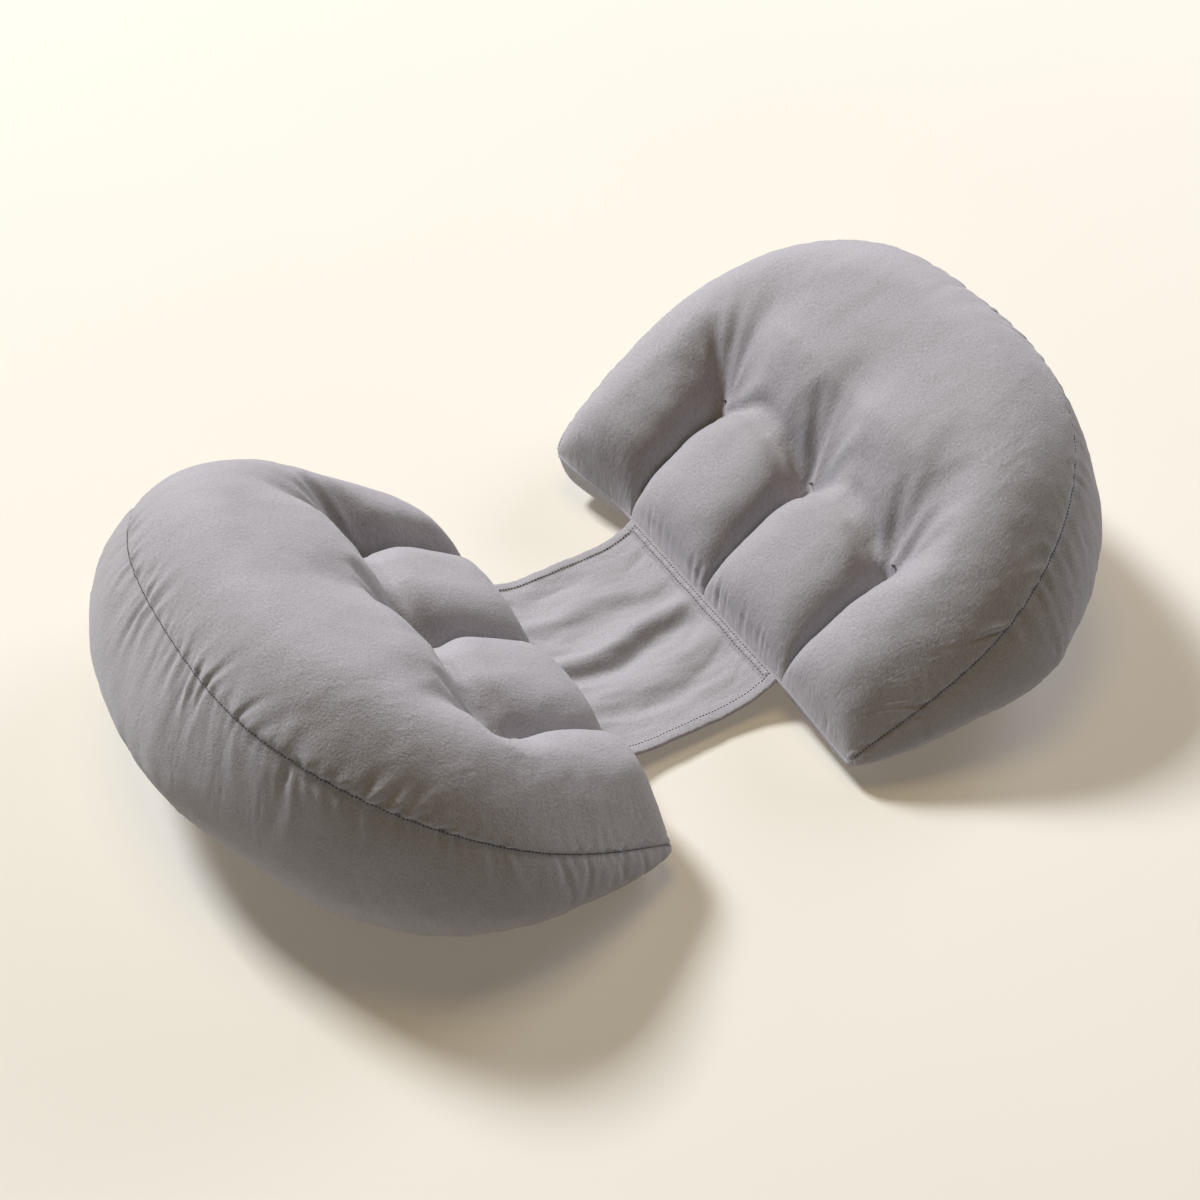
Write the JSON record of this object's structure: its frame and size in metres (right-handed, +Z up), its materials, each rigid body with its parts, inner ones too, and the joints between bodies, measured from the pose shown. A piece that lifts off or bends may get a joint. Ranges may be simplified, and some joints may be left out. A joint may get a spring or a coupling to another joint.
{
  "type": "pregnancy wedge pillow",
  "caption": "Side-sleeper pillow of two filled D-shaped wedge cushions with stitched channels, joined by a flat hemmed waist panel.",
  "frame": {"origin": "middle of the pillow's footprint, on the surface that it lies on", "axes": "+X from the left cushion across the waist panel to the right cushion, +Y along the straight front seams, +Z up"},
  "size_m": [0.7215, 0.4529, 0.2162],
  "materials": {
    "cushion_cotton_left": "matte",
    "cushion_cotton_right": "matte",
    "panel_cotton": "matte"
  },
  "bodies": {
    "root": {"cushion_left": "cushion_cotton_left", "cushion_right": "cushion_cotton_right", "waist_panel": "panel_cotton"}
  },
  "joints": []
}
